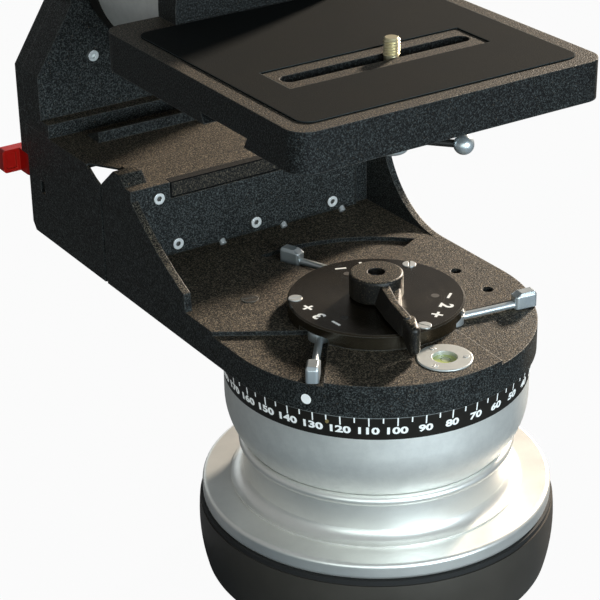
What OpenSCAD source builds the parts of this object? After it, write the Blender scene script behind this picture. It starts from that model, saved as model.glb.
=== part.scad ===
// Fluid video head: a pan unit on a turned base, a cast L bracket, a quick-change block,
// a tilt upright and a camera platform that hangs from the tilt drum.
// Z is the pan axis, the tilt axis runs along Y, and the camera looks along X.

/* [Base] */
// Radius of the foot
foot_r = 105.5; // [100:0.5:115]
// Height of the foot
foot_h = 42; // [36:1:60]
// Height of the foot's widest level
foot_belly = 30; // [20:1:36]
// Rounding of the foot's lower edge
foot_round = 5; // [3:0.5:8]
// Thickness of the black ring between foot and flange
gasket_h = 3; // [2:0.5:5]
// Radius of the flange
flange_r = 103; // [98:0.5:110]
// Thickness of the flange
flange_h = 10; // [8:0.5:14]
// Height of the beaded neck ring
neck_h = 29; // [24:1:32]
// Step from the bowl's lip out to the neck's wall
neck_step = 1.4; // [0.8:0.1:2.8]
// Spread of the neck's foot past its wall
neck_spread = 7.4; // [4.4:0.2:13]
// Radius of the bead's round section
bead_round = 3.2; // [2.4:0.2:4]
// Height of the bowl from the flange to the scale's top edge
bowl_h = 85; // [80:1:100]
// Largest radius of the bowl
bowl_r = 88.2; // [84:0.1:98]
// Height of the bowl's widest level above the neck
bowl_rise = 29; // [24:0.5:36]
// Radius of the bowl's curve, seen from the side
bowl_curve = 43.7; // [40:0.1:50]
// Step from the bowl's lip in to its spigot inside the neck
spigot_step = 4.2; // [3.2:0.1:7]
// Flare of the scale ring past the bowl
scale_flare = 1.8; // [0.8:0.1:2.8]
// Height of the scale ring
scale_h = 14.4; // [12:0.2:18]
// Radius of the tripod screw's thread
socket_r = 4.7625; // [3.175:0.0005:8]
// Depth of the tripod screw's hole
socket_depth = 16; // [10:1:24]

/* [Pan bracket] */
// Running gap between the scale ring and the bracket
pan_gap = 0.8; // [0.5:0.1:2]
// Thickness of the bracket's plate
plate_t = 19.2; // [14:0.1:24]
// Radius of the plate's round end, and half its width
plate_r = 91.7; // [91:0.1:93]
// Depth of the lever reliefs in the plate
relief_d = 2.6; // [2.4:0.1:4]
// Distance of the wall's front panel from the pan axis
wall_front = 118; // [112:1:124]
// Distance of the bracket's back face from the pan axis
wall_back = 157; // [150:1:170]
// Height of the wall above the plate
wall_h = 54; // [44:1:60]
// Height of the ears above the wall
ear_h = 6; // [3:1:10]
// Width of the ears
ear_w = 15; // [12:0.5:16]
// Thickness of the gussets
gusset_t = 4.5; // [3.5:0.5:9]
// Distance of the gussets' feet from the pan axis
gusset_foot = 59; // [54:1:66]
// Half width from the pan axis to the panel's rounded end
panel_end = 70.5; // [64:0.5:76]
// Rounding of the panel's end
panel_round = 6; // [3:0.5:9]
// Height of the undercut below the panel
undercut_h = 6; // [4:0.5:9]

/* [Drag units] */
// Radius of a drag dial
dial_r = 50.6; // [48:0.2:54]
// Height of a drag dial
dial_h = 9; // [8:0.5:12]
// Distance of a lever's pivot from the dial's axis
pivot_r = 44; // [42:0.5:45]
// Swing of a lever to each side of its middle
lever_swing = 41.6; // [30:0.2:43]
// Distance from a lever's pivot to the middle of its paddle
lever_reach = 47; // [44:0.5:50]
// Length of a lever's paddle
paddle_l = 14; // [10:0.5:16]
// Width of a lever's paddle
paddle_w = 7.5; // [5:0.5:9]
// Diameter of a lever's rod
rod_d = 4.4; // [3:0.2:5]
// Radius of a lock lever's hub
lock_r = 15.5; // [13:0.5:18]
// Height of a lock lever's hub
lock_h = 14; // [10:0.5:18]
// Length of a lock lever's arm, to the middle of its round tip
lock_arm = 61.6; // [59:0.2:62]
// Radius of a drag unit's spindle
spindle_r = 15; // [13:0.5:17]

/* [Quick-change block] */
// Depth of the block behind the bracket
block_d = 100; // [90:1:120]
// Height of the block's top below the wall's top
block_drop = 1; // [0.5:0.5:3]
// Thickness of the block's top plate
block_top_t = 4; // [3:0.5:8]
// Thickness of the block's side cheeks
cheek_t = 4; // [3:0.5:6]
// Length of the red lever's paddle
qc_lever_l = 22; // [18:0.5:30]
// Height of the red lever
qc_lever_h = 15.5; // [10:0.5:16]
// Thickness of the red lever's paddle
qc_lever_t = 8; // [6:0.5:10]

/* [Tilt unit] */
// Height of the tilt axis above the pan bracket's plate
tilt_rise = 155; // [152:0.5:165]
// Thickness of the tilt upright without its rear cover
upright_t = 22; // [18:0.5:28]
// Depth of the upright's foot on the block
upright_foot_d = 33; // [28:1:40]
// Height of the upright's foot on the block
upright_foot_h = 9; // [6:0.5:12]
// Distance of the upright's front face from the block's back
upright_setback = 23; // [16:1:26]
// Height of the shoulders above the upright's foot
shoulder_h = 28.6; // [20:0.2:36]
// Reach of the upright's rear jaw below the block's top
jaw_h = 21; // [16:1:30]
// Thickness of the rear cover
cover_t = 10; // [8:0.5:14]
// Radius of the upright's rounded head
head_r = 66; // [60:0.5:72]
// Radius of the tilt drum
drum_r = 58; // [54:0.5:60]
// Running gap between the drum and the upright
drum_gap = 2.5; // [1.5:0.5:4]

/* [Platform] */
// Distance of the platform's rear end from the tilt axis
platform_left = 97; // [90:0.5:105]
// Distance of the platform's front end from the tilt axis
platform_right = 100.6; // [90:0.1:105]
// Distance of the platform's free edge from the pan axis
platform_free = 71; // [64:1:80]
// Distance of the platform's drum side from the pan axis
platform_back = 132; // [126:1:136]
// Thickness of the platform
platform_t = 22.6; // [20:0.2:26]
// Height of the tilt axis above the platform's top
platform_drop = 4.4; // [2:0.2:8]
// Rounding of the platform's corners
platform_round = 12; // [8:1:20]
// Border of the platform around the mat
mat_border = 10; // [6:0.5:14]
// Thickness of the mat
mat_t = 2; // [1.5:0.1:3]
// Depth of the mat's seat
mat_seat = 1.2; // [0.8:0.1:1.4]
// Length of the camera screw's slot
slot_l = 122; // [100:1:130]
// Width of the camera screw's slot
slot_w = 10.5; // [10.2:0.1:14]
// Radius of the camera screw's thread
camera_screw_r = 4.7625; // [3.175:0.0005:5]
// Height of the camera screw above the mat
camera_screw_h = 9.5; // [5:0.5:12]
// Place of the camera screw along its slot, from the middle
camera_screw_x = 9.5; // [-20:0.5:20]
// Length of the camera screw's handle, to the middle of its ball
handle_l = 40.7; // [34:0.1:44]
// Radius of the handle's ball
ball_r = 5.8; // [4:0.1:7]

/* [Hidden] */
$fn = 96;
// Clearance of turned seats and screw holes
fit = 0.05;
// Clearance of sliding and swinging pieces
slide_fit = 0.3;
// Overlap of a cut past the face it opens
over = 1;

gasket_z = foot_h;
flange_z = gasket_z + gasket_h;
neck_z = flange_z + flange_h;
neck_top = neck_z + neck_h;
scale_top = neck_z + bowl_h;
scale_z = scale_top - scale_h;
plate_z = scale_top + pan_gap;
plate_top = plate_z + plate_t;
wall_top = plate_top + wall_h;
ear_top = wall_top + ear_h;
gusset_top = wall_top - 4;

// The bowl's curve starts below the scale and leaves the neck's bead free
bowl_curve_z = neck_top + bowl_rise;
bowl_curve_x = bowl_r - bowl_curve;
lip_r = bowl_curve_x + sqrt(bowl_curve * bowl_curve - bowl_rise * bowl_rise);
lip_h = 4;
bowl_seat_r = bowl_r - 4;
scale_r = bowl_r + scale_flare;
neck_r = lip_r + neck_step;
neck_foot_r = neck_r + neck_spread;
spigot_r = lip_r - spigot_step;

// Fluid chamber and drag plates
chamber_r = 64;
chamber_z = neck_z + 31;
cover_z = scale_top - 21;
cover_h = 18;
bearing_r = 32;
bearing_h = 12;
bearing_low_z = neck_z + 8;
spindle_hole_r = spindle_r + 4;
drag_hub_r = spindle_r + 5;
drag_t = 3;
drag_pitch = 10;
drag_count = 3;

// Levers stand at three places round a dial
lever_angles = [70, 190, 310];
dial_screw_angles = [30, 150, 270];
relief_apex = 36.8;
relief_half = 43;
hub_clear = 1;
relief_r = pivot_r + lever_reach + paddle_l / 2 + 3;
lever_hub_r = 7;
lever_pin_r = 2;
rod_z = 0.2;
paddle_low = -2;
paddle_h = 9.5;
dial_clear = 3.2;
dial_screw_r = dial_r - 4.6;
screw_head_r = 4;
screw_shank_r = 2;
stud_r = 5;
lock_z = dial_h + 1;
lock_angle = -105;

// Quick-change block
block_front = wall_back;
block_back = wall_back + block_d;
block_top = wall_top - block_drop;
block_z = plate_z;
block_wall = 8;
block_front_t = 6;
notch_low = wall_top - 9;
notch_high = block_top - 1.3;
notch_d = 17;
corner_d = 21;
corner_w = 13;
crossbar_z = plate_top + 4;
rib_x = 26;
notch_w = 20;
notch_skin = 1.2;
notch_hollow = 7;
joint_bevel = 1;
joint_groove = 2.2;
rail_h = 7;
rail_d = 15;
rail_back_h = 1.5;
rail_setback = 57;
rail_front = block_back - rail_setback;
rail_half = 69;

// Tilt upright
foot_front = block_back - upright_foot_d;
upright_front = block_back - upright_setback;
cover_front = upright_front + upright_t;
tilt_face = cover_front + cover_t;
upright_z = block_top + upright_foot_h;
shoulder_z = upright_z + shoulder_h;
jaw_z = block_top - jaw_h;
shoulder_slope = 1.59;
neck_inset = 0.6;
tilt_z = plate_top + tilt_rise;
cover_screw_x = 53;
cover_screw_z = upright_z + 35.5;

// Quick-change lever hangs on a pin below the upright's rear jaw
qc_hub_r = 5;
qc_pin_r = 2.5;
qc_y = block_back + qc_hub_r + 0.5;
qc_x = 0.7 + qc_hub_r - plate_r;
qc_z = jaw_z - qc_lever_h - slide_fit;
qc_paddle_y = 9;
qc_pin_deep = 8;

// Tilt drum
drum_back = upright_front - drum_gap;
drum_front = platform_back;
tilt_bearing_r = 30;
tilt_bearing_h = 12;
tilt_chamber_r = drum_r - 12;
tilt_chamber_front = drum_front + 20;
tilt_chamber_back = drum_back - 14;
tilt_spindle_end = drum_front + 4;
drum_bolt_r = 46;
tilt_scale_h = 14;

// Platform
platform_top = tilt_z - platform_drop;
platform_z = platform_top - platform_t;
mat_top = platform_top - mat_seat + mat_t;
arm_t = 20;
arm_r = drum_r + 2;
groove_h = 6;
groove_mouth = 20;
groove_root = 23.5;
pocket_roof = 10.6;
window_half = 15;
mat_round = 8;
mat_back = platform_back - arm_t - 2;
carriage_l = 34;
camera_shank_r = camera_screw_r - 0.6;
thread_z = platform_top + slide_fit;
handle_hub_r = 10;
handle_hub_l = 33;
handle_rod_drop = 25.3;
handle_low = platform_z - handle_hub_l;
handle_z = platform_z - handle_rod_drop;
handle_angle = -48.6;

// Frames: pan dial on the bracket's plate, tilt dial on the rear cover, and profiles along X
module on_plate() {
    translate([0, 0, plate_top])
        children();
}

module on_tilt_axis() {
    translate([0, 0, tilt_z])
        rotate([-90, 0, 0])
            children();
}

module on_tilt_face() {
    on_tilt_axis()
        translate([0, 0, tilt_face])
            children();
}

module along_x(from, to) {
    translate([from, 0, 0])
        rotate([90, 0, 90])
            linear_extrude(to - from)
                children();
}

// Shared shapes
module ring(r_out, r_in, h) {
    difference() {
        cylinder(r = r_out, h = h);
        translate([0, 0, -over])
            cylinder(r = r_in, h = h + 2 * over);
    }
}

// Half section of a turned disc with rounded outer edges
module disc_section(r, h, top, bottom) {
    middle = h / 2;
    square([r - bottom, middle]);
    translate([0, middle])
        square([r - top, middle]);
    translate([0, bottom])
        square([r, h - top - bottom]);
    translate([r - bottom, bottom])
        circle(bottom);
    translate([r - top, h - top])
        circle(top);
}

module rounded_rect(x0, y0, x1, y1, r) {
    translate([x0 + r, y0])
        square([x1 - x0 - 2 * r, y1 - y0]);
    translate([x0, y0 + r])
        square([x1 - x0, y1 - y0 - 2 * r]);
    for (x = [x0 + r, x1 - r])
        for (y = [y0 + r, y1 - r])
            translate([x, y])
                circle(r);
}

// Wedge that a drag lever sweeps, in the dial's own frame
module lever_relief() {
    for (a = lever_angles)
        rotate(a)
            union() {
                intersection() {
                    circle(relief_r);
                    polygon([
                        [relief_apex, 0],
                        [relief_apex + 2 * relief_r * cos(relief_half), 2 * relief_r * sin(relief_half)],
                        [relief_apex + 2 * relief_r * cos(relief_half), -2 * relief_r * sin(relief_half)]
                    ]);
                }
                translate([pivot_r, 0])
                    circle(lever_hub_r + hub_clear);
            }
}

// Slotted screw, head down to its shank, with the head's top at height z
module slotted_screw(head_r, head_h, shank_r, length) {
    difference() {
        union() {
            translate([0, 0, -head_h])
                cylinder(r = head_r, h = head_h);
            translate([0, 0, -length])
                cylinder(r = shank_r, h = length);
        }
        translate([-head_r - over, -0.5, -0.9])
            cube([2 * head_r + 2 * over, 1, 0.9 + over]);
    }
}

// Socket cap screw along Z, its head's top at zero
cap_head_r = 3.5;
cap_head_h = 4;
cap_shank_r = 2;
module cap_screw(length) {
    difference() {
        union() {
            translate([0, 0, -cap_head_h])
                cylinder(r = cap_head_r, h = cap_head_h);
            translate([0, 0, -length])
                cylinder(r = cap_shank_r, h = length);
        }
        translate([0, 0, -2])
            cylinder(r = 1.75, h = 2 + over, $fn = 6);
    }
}

module screw_hole(head_r, head_depth, shank_r, length) {
    translate([0, 0, -head_depth])
        cylinder(r = head_r + fit, h = head_depth + over);
    translate([0, 0, -length - over])
        cylinder(r = shank_r + fit, h = length + over);
}

// Drag plates that stay with a housing, and the rotor that turns between them
module fixed_plates(from, r_out) {
    for (i = [0 : drag_count - 1])
        translate([0, 0, from + drag_pitch * (i + 0.5)])
            ring(r_out, drag_hub_r + slide_fit, drag_t);
}

module drag_rotor(from, r_out) {
    difference() {
        union() {
            translate([0, 0, from - 1])
                cylinder(r = drag_hub_r, h = drag_pitch * drag_count - 1);
            for (i = [0 : drag_count - 1])
                translate([0, 0, from + drag_pitch * i])
                    cylinder(r = r_out, h = drag_t);
        }
        translate([0, 0, from - 1 - over])
            cylinder(r = spindle_r + fit, h = drag_pitch * drag_count + 2 * over);
    }
}

// Drag dial set, with the plate's face at zero
module drag_dial() {
    difference() {
        rotate_extrude()
            polygon([
                [0, 0], [dial_r, 0], [dial_r, dial_h - 1], [dial_r - 1, dial_h], [0, dial_h]
            ]);
        translate([0, 0, -over])
            linear_extrude(dial_clear + over)
                lever_relief();
        translate([0, 0, -over])
            cylinder(r = stud_r + fit, h = dial_h + 2 * over);
        dial_screw_places()
            screw_hole(screw_head_r, 1.4, screw_shank_r, dial_h);
    }
}

module dial_screw_places() {
    for (a = dial_screw_angles)
        rotate(a)
            translate([dial_screw_r, 0, dial_h])
                children();
}

dial_screw_l = dial_h + 6;
module dial_screws() {
    dial_screw_places()
        rotate(25)
            translate([0, 0, 0.4])
                slotted_screw(screw_head_r, 1.8, screw_shank_r, dial_screw_l);
}

module lever_places() {
    for (a = lever_angles)
        rotate(a)
            translate([pivot_r, 0, 0])
                children();
}

lever_pin_deep = 6;
lever_pin_high = 2.9;
module lever_pins() {
    lever_places()
        translate([0, 0, -relief_d - lever_pin_deep])
            cylinder(r = lever_pin_r, h = relief_d + lever_pin_deep + lever_pin_high);
}

module drag_lever(index) {
    low = slide_fit - relief_d;
    rotate(lever_angles[index])
        translate([pivot_r, 0, 0])
            rotate(lever_swing)
                difference() {
                    union() {
                        translate([0, 0, low])
                            cylinder(r = lever_hub_r, h = lever_pin_high - low);
                        translate([0, 0, rod_z])
                            rotate([0, 90, 0])
                                cylinder(d = rod_d, h = lever_reach);
                        paddle();
                    }
                    translate([0, 0, low - over])
                        cylinder(r = lever_pin_r + fit, h = relief_d + lever_pin_high + 2 * over);
                }
}

module paddle() {
    round_r = 2;
    hull() {
        for (x = [lever_reach - paddle_l / 2 + round_r, lever_reach + paddle_l / 2 - round_r])
            for (y = [round_r - paddle_w / 2, paddle_w / 2 - round_r])
                translate([x, y, paddle_low])
                    cylinder(r = round_r, h = paddle_h - 2, $fn = 32);
        translate([lever_reach - paddle_l / 2 + 4, -paddle_w / 2 + 1, paddle_low])
            cube([paddle_l - 5.5, paddle_w - 2, paddle_h]);
    }
}

stud_deep = 2;
stud_top = lock_z + lock_h - 4;
module lock_stud() {
    translate([0, 0, -stud_deep])
        cylinder(r = stud_r, h = stud_deep + stud_top);
}

// Lock lever: a hub with a drafted blade that reaches over the dial and drops beyond its rim
module lock_lever() {
    top = lock_z + lock_h - 2;
    low = lock_z + 0.6;
    tip_low = 1.6;
    tip_r = 3.4;
    bend = [lock_arm * 0.55, -2.4];
    tip = [lock_arm, -0.8];
    rotate(lock_angle)
        difference() {
            union() {
                translate([0, 0, lock_z])
                    rotate_extrude()
                        disc_section(lock_r, lock_h, 1.5, 1);
                hull() {
                    translate([lock_r - 6, 0, low])
                        cylinder(r1 = 6, r2 = 2.8, h = top - low, $fn = 32);
                    translate([bend[0], bend[1], low])
                        cylinder(r1 = 4.4, r2 = 1.9, h = top - low - 0.5, $fn = 32);
                }
                hull() {
                    translate([lock_r - 7, 7, low])
                        cylinder(r1 = 5, r2 = 4, h = lock_h / 2, $fn = 32);
                    translate([bend[0], bend[1] + 1, low])
                        cylinder(r1 = 4, r2 = 2, h = lock_h / 3, $fn = 32);
                }
                hull() {
                    translate([bend[0], bend[1], low])
                        cylinder(r1 = 4.4, r2 = 1.9, h = top - low - 0.5, $fn = 32);
                    translate([dial_r + 2, tip[1] - 1, low])
                        cylinder(r1 = 4.4, r2 = 2, h = top - low - 1, $fn = 32);
                }
                hull() {
                    translate([dial_r + 3, tip[1], low])
                        cylinder(r1 = 4.4, r2 = 3.4, h = top - low - 2, $fn = 32);
                    for (z = [tip_low + tip_r, top - 2.6 - tip_r])
                        translate([tip[0], tip[1], z])
                            sphere(r = tip_r, $fn = 32);
                }
            }
            translate([0, 0, lock_z - over])
                cylinder(r = stud_r + fit, h = lock_h + 2 * over);
        }
}

// Base
module base_foot() {
    sole_r = sqrt(pow(foot_r - foot_round, 2) - pow(foot_belly - foot_round, 2));
    edge_z = foot_belly - (foot_belly - foot_round) * foot_r / (foot_r - foot_round);
    recess_r = sole_r - 12;
    boss_r = 24;
    recess_h = 6;
    color("dimgray")
        difference() {
            rotate_extrude()
                intersection() {
                    translate([0, foot_belly])
                        circle(foot_r);
                    union() {
                        square([sole_r, foot_h]);
                        translate([0, edge_z])
                            square([foot_r, foot_h - edge_z]);
                        translate([sole_r, foot_round])
                            circle(foot_round);
                    }
                }
            translate([0, 0, -over])
                ring(recess_r, boss_r, recess_h + over);
            translate([0, 0, -over])
                cylinder(r = socket_r, h = socket_depth + over);
        }
}

module base_gasket() {
    color("black")
        translate([0, 0, gasket_z])
            ring(flange_r + 1, flange_r - 30, gasket_h);
}

module base_flange() {
    color("silver")
        translate([0, 0, flange_z])
            rotate_extrude()
                disc_section(flange_r, flange_h, 2.5, 2.5);
}

module neck_ring() {
    fillet = neck_foot_r - neck_r;
    color("silver")
        translate([0, 0, neck_z])
            difference() {
                rotate_extrude()
                    union() {
                        square([neck_r, neck_h - bead_round]);
                        difference() {
                            square([neck_foot_r, fillet]);
                            translate([neck_foot_r, fillet + 1])
                                circle(fillet);
                        }
                        translate([lip_r + 0.4, neck_h - bead_round])
                            circle(bead_round);
                    }
                translate([0, 0, -over])
                    cylinder(r = spigot_r + fit, h = neck_h + over);
                translate([0, 0, neck_h - lip_h])
                    cylinder(r = lip_r + fit + slide_fit, h = lip_h + over);
            }
}

module pan_bowl() {
    spigot_top = neck_top - lip_h;
    color("silver")
        difference() {
            union() {
                translate([0, 0, neck_z])
                    cylinder(r = spigot_r, h = spigot_top - neck_z);
                intersection() {
                    translate([0, 0, bowl_curve_z])
                        rotate_extrude()
                            translate([bowl_curve_x, 0])
                                intersection() {
                                    circle(bowl_curve);
                                    translate([-bowl_curve_x, -2 * bowl_curve])
                                        square([bowl_r + over, 2 * bowl_curve]);
                                }
                    translate([0, 0, spigot_top])
                        cylinder(r = bowl_r, h = bowl_curve_z - spigot_top);
                }
                translate([0, 0, spigot_top])
                    cylinder(r = spigot_r - 4, h = bowl_curve_z - spigot_top);
                translate([0, 0, bowl_curve_z])
                    cylinder(r = bowl_r, h = scale_z - bowl_curve_z);
                translate([0, 0, scale_z])
                    cylinder(r = bowl_seat_r, h = scale_h);
            }
            translate([0, 0, chamber_z])
                cylinder(r = chamber_r + 2, h = scale_top);
            translate([0, 0, neck_z - over])
                cylinder(r = spindle_hole_r, h = chamber_z);
            translate([0, 0, bearing_low_z])
                cylinder(r = bearing_r + fit, h = chamber_z);
        }
}

module scale_ring() {
    color("black")
        translate([0, 0, scale_z])
            difference() {
                rotate_extrude()
                    polygon([
                        [0, 0], [bowl_r, 0], [scale_r, scale_h - 1], [scale_r, scale_h], [0, scale_h]
                    ]);
                translate([0, 0, -over])
                    cylinder(r = bowl_seat_r + fit, h = scale_h + 2 * over);
                scale_pin_place()
                    cylinder(r = scale_pin_r + fit, h = 12, center = true);
            }
}

scale_pin_angle = -142.2;
scale_pin_r = 1;
module scale_pin_place() {
    rotate(scale_pin_angle)
        translate([scale_r, 0, scale_h - 4.3])
            rotate([0, 90, 0])
                children();
}

module scale_pin() {
    color("goldenrod")
        translate([0, 0, scale_z])
            scale_pin_place()
                translate([0, 0, -4])
                    cylinder(r = scale_pin_r, h = 4.2);
}

module pan_cover() {
    color("dimgray")
        translate([0, 0, cover_z])
            difference() {
                cylinder(r = chamber_r + 2 - fit, h = cover_h);
                translate([0, 0, -over])
                    cylinder(r = spindle_hole_r, h = cover_h + 2 * over);
                translate([0, 0, cover_h - bearing_h])
                    cylinder(r = bearing_r + fit, h = bearing_h + over);
            }
}

module pan_bearing_lower() {
    color("silver")
        translate([0, 0, bearing_low_z])
            ring(bearing_r, spindle_r + fit, bearing_h);
}

module pan_bearing_upper() {
    color("silver")
        translate([0, 0, cover_z + cover_h - bearing_h])
            ring(bearing_r, spindle_r + fit, bearing_h);
}

module pan_drag_plates() {
    color("dimgray")
        fixed_plates(chamber_z + 2, chamber_r + 2 - fit);
}

// Pan bracket: plate, wall and gussets of one casting
module plate_outline() {
    circle(plate_r);
    translate([-plate_r, 0])
        square([2 * plate_r, wall_back]);
}

// Side of the left gusset: a long shallow hollow that ends in a short upright toe
module left_gusset_side() {
    toe = [gusset_foot + 1, plate_top + 11];
    head = [wall_front + 3, gusset_top];
    chord = norm(head - toe);
    sag = 3;
    sweep = chord * chord / (8 * sag) + sag / 2;
    tilt = atan2(head[1] - toe[1], head[0] - toe[0]);
    middle = (head + toe) / 2;
    difference() {
        polygon([
            [gusset_foot - 1.5, plate_z], toe, head, [wall_front + 3, ear_top],
            [wall_back - 18, ear_top], [wall_back, notch_low], [wall_back, plate_z]
        ]);
        translate(middle + (sweep - sag) * [-sin(tilt), cos(tilt)])
            circle(sweep, $fn = 360);
    }
}

// Side of the right gusset: a quarter round hollow
module right_gusset_side() {
    hollow = ear_top - plate_top;
    difference() {
        polygon([
            [gusset_foot, plate_z], [gusset_foot, ear_top], [wall_back - 18, ear_top],
            [wall_back, notch_low], [wall_back, plate_z]
        ]);
        translate([gusset_foot, ear_top])
            circle(hollow);
    }
}

// Wall with a front panel whose end and lower edge are rounded
module bracket_wall() {
    recess = 17;
    edge = 3;
    low = plate_top + undercut_h;
    inside = 2 * plate_r - 2 * ear_w;
    translate([-plate_r + gusset_t, wall_front + recess, plate_z])
        cube([2 * plate_r - 2 * gusset_t, wall_back - wall_front - recess, plate_t + 1]);
    translate([-inside / 2, wall_front + recess, plate_z])
        cube([inside, wall_back - wall_front - recess, wall_top - plate_z]);
    for (side = [-1, 1])
        translate([side * (plate_r - ear_w / 2) - ear_w / 2, wall_front + recess, plate_z])
            cube([ear_w, wall_back - wall_front - recess - 18, wall_top - plate_z]);
    intersection() {
        along_x(-plate_r, panel_end)
            union() {
                translate([wall_front + edge, low])
                    square([recess, wall_top - low]);
                translate([wall_front, low + edge])
                    square([recess + edge, wall_top - low - edge]);
                translate([wall_front + edge, low + edge])
                    circle(edge);
            }
        translate([0, 0, plate_z])
            linear_extrude(ear_top)
                union() {
                    translate([-plate_r, wall_front])
                        square([plate_r + panel_end - panel_round, recess + edge]);
                    translate([-plate_r, wall_front + panel_round])
                        square([plate_r + panel_end, recess + edge - panel_round]);
                    translate([panel_end - panel_round, wall_front + panel_round])
                        circle(panel_round);
                }
    }
}

wall_screw_places = [[-73.8, 46], [-62.5, 14.2], [-7.6, 14.2], [48.4, 14.2]];
wall_screw_sunk = 2;
module at_wall_screws() {
    for (p = wall_screw_places)
        translate([p[0], wall_front, plate_top + p[1]])
            rotate([90, 0, 0])
                children();
}

wall_pin_places = [-30.7, 13.3, 56.7];
wall_pin_r = 2;
module at_wall_pins() {
    for (x = wall_pin_places)
        translate([x, wall_front + 1.2, plate_top + undercut_h + 1.2])
            rotate([135, 0, 0])
                children();
}

gib_left = -65;
gib_right = 55;
gib_h = 10;
gib_t = 6;
gib_gap = 0.5;
plug_place = [-52, 52.9];
plug_r = 5;
gauge_holes = [[68.3, 15.3], [68.3, -15.3]];
gauge_hole_r = 2.7;
gauge_hole_bevel = 0.7;
// Gap between the dial and the bubble level's ring
bubble_gap = 3.4;
bubble_r = 15.5;
bubble_place = [-3.5, -dial_r - bubble_gap - bubble_r];
bubble_sunk = 3;
vial_r = 7;
// Depth of the vial's top below the bubble ring's top
vial_sunk = 2.4;
wall_screw_l = 20;

module pan_bracket() {
    color("black")
        difference() {
            union() {
                translate([0, 0, plate_z])
                    linear_extrude(plate_t)
                        plate_outline();
                bracket_wall();
                along_x(-plate_r, -plate_r + gusset_t)
                    left_gusset_side();
                along_x(plate_r - gusset_t, plate_r)
                    right_gusset_side();
                along_x(-plate_r, -plate_r + ear_w)
                    intersection() {
                        left_gusset_side();
                        translate([wall_front + 3, gusset_top])
                            square([wall_back, ear_top]);
                    }
            }
            on_plate()
                translate([0, 0, -relief_d])
                    linear_extrude(relief_d + over)
                        intersection() {
                            lever_relief();
                            translate([-relief_r, -relief_r])
                                square([2 * relief_r, relief_r + wall_front - 8]);
                        }
            translate([0, 0, plate_z - over])
                cylinder(r = spindle_r + fit, h = plate_t + 2 * over);
            on_plate()
                lever_places()
                    translate([0, 0, -relief_d - lever_pin_deep])
                        cylinder(r = lever_pin_r + fit, h = relief_d + lever_pin_deep);
            on_plate()
                translate([0, 0, -dial_h])
                    dial_screw_places()
                        translate([0, 0, -6 - over])
                            cylinder(r = screw_shank_r + fit, h = 6 + 2 * over);
            on_plate()
                translate([plug_place[0], plug_place[1], -8])
                    cylinder(r = plug_r + fit, h = 8 + over);
            for (p = gauge_holes)
                on_plate()
                    translate([p[0], p[1], 0])
                        union() {
                            translate([0, 0, -10])
                                cylinder(r = gauge_hole_r, h = 10 + over);
                            translate([0, 0, -gauge_hole_bevel])
                                cylinder(r1 = gauge_hole_r, r2 = gauge_hole_r + 2 * gauge_hole_bevel,
                                    h = 2 * gauge_hole_bevel);
                        }
            on_plate()
                translate([bubble_place[0], bubble_place[1], -bubble_sunk])
                    cylinder(r = bubble_r + fit, h = bubble_sunk + over);
            on_plate()
                translate([bubble_place[0], bubble_place[1], -bubble_sunk - 4])
                    cylinder(r = vial_r + fit, h = bubble_sunk + 4);
            on_plate()
                translate([bubble_place[0], bubble_place[1], 0])
                    at_bubble_screws()
                        translate([0, 0, -bubble_sunk - 4])
                            cylinder(r = bubble_screw_r + fit, h = 5);
            at_wall_screws()
                screw_hole(cap_head_r, wall_screw_sunk, cap_shank_r, wall_screw_l + over);
            at_wall_pins()
                translate([0, 0, -6])
                    cylinder(r = wall_pin_r + fit, h = 6 + over);
            translate([gib_left - gib_gap, wall_front - over, wall_top - gib_h - gib_gap])
                cube([gib_right - gib_left + 2 * gib_gap, gib_t + over, gib_h + gib_gap + over]);
            for (side = [-1, 1])
                translate([side * plate_r - joint_groove, wall_back - joint_groove, plate_z - over])
                    cube([2 * joint_groove, joint_groove + over, ear_top]);
        }
}

module pan_spindle() {
    collar_r = 30;
    collar_z = cover_z + cover_h + 0.5;
    color("silver")
        difference() {
            union() {
                translate([0, 0, neck_z + 3])
                    cylinder(r = spindle_r, h = plate_top - neck_z - 3);
                translate([0, 0, collar_z])
                    cylinder(r = collar_r, h = plate_z - collar_z);
            }
            translate([0, 0, plate_top - stud_deep])
                cylinder(r = stud_r + fit, h = stud_deep + over);
        }
}

module pan_drag_rotor() {
    color("silver")
        drag_rotor(chamber_z + 2, chamber_r - 3);
}

module plate_plug() {
    color("silver")
        on_plate()
            translate([plug_place[0], plug_place[1], 0.4])
                rotate(-20)
                    slotted_screw(plug_r, 3, plug_r - 1.5, 8);
}

module wall_screws() {
    color("silver")
        at_wall_screws()
            translate([0, 0, cap_head_h - wall_screw_sunk])
                cap_screw(wall_screw_l);
}

module wall_pins() {
    color("silver")
        at_wall_pins()
            translate([0, 0, -5])
                cylinder(r = wall_pin_r, h = 7.5);
}

module wall_gib() {
    color("black")
        translate([gib_left, wall_front, wall_top - gib_h])
            cube([gib_right - gib_left, gib_t, gib_h]);
}

module pan_dial() {
    color("black")
        on_plate()
            drag_dial();
}

module pan_dial_screws() {
    color("silver")
        on_plate()
            dial_screws();
}

module pan_lever_pins() {
    color("silver")
        on_plate()
            lever_pins();
}

module pan_lever(index) {
    color("gainsboro")
        on_plate()
            drag_lever(index);
}

module pan_lock_stud() {
    color("silver")
        on_plate()
            lock_stud();
}

module pan_lock_lever() {
    color("black")
        on_plate()
            lock_lever();
}

bubble_screw_r = 1.2;
bubble_screw_at = 11.6;
bubble_proud = 0.8;
module at_bubble_screws() {
    for (a = [-32, 88, 208])
        rotate(a)
            translate([bubble_screw_at, 0, bubble_proud])
                children();
}

module on_bubble() {
    on_plate()
        translate([bubble_place[0], bubble_place[1], 0])
            children();
}

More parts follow.
